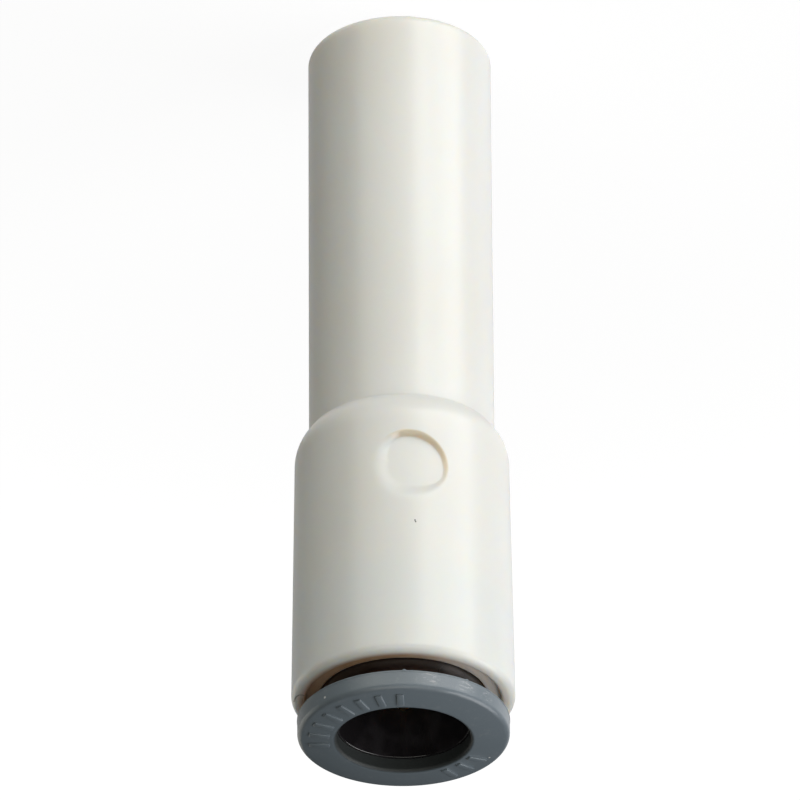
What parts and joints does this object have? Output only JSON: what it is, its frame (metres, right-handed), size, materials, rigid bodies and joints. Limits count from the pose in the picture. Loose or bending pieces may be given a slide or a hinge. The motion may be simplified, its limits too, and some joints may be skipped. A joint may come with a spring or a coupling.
{
  "type": "push-in standpipe reducer",
  "caption": "Plug-in tube reducer: a plain stem that plugs into a larger socket, with a smaller push-in socket and release ring on its other end.",
  "frame": {"origin": "centre of the stem's free end, on which the fitting stands", "axes": "+Z along the common axis of stem and socket, out of the push-in socket's mouth; -Y is the side with the shallow round recess"},
  "size_m": [0.0114, 0.0114, 0.0402],
  "materials": {
    "body_polymer": "smooth ivory moulding",
    "ring_polymer": "satin ivory moulding",
    "seal_rubber": "smooth black rubber",
    "washer_polymer": "satin",
    "collet_polymer": "smooth black moulding",
    "release_ring_polymer": "satin grey moulding",
    "tooth_steel": "bright stamped stainless steel"
  },
  "bodies": {
    "socket_body": {"fitting_body": "body_polymer", "retaining_ring": "ring_polymer", "tube_seal": "seal_rubber", "seal_washer": "washer_polymer"},
    "release_collet": {"collet": "collet_polymer", "release_ring": "release_ring_polymer", "grip_tooth_1": "tooth_steel", "grip_tooth_2": "tooth_steel", "grip_tooth_3": "tooth_steel", "grip_tooth_4": "tooth_steel", "grip_tooth_5": "tooth_steel", "grip_tooth_6": "tooth_steel"}
  },
  "joints": [
    {"name": "release_press", "type": "slide", "parent": "socket_body", "child": "release_collet", "axis": [0, 0, -1], "range_m": [0, 0.001]}
  ]
}
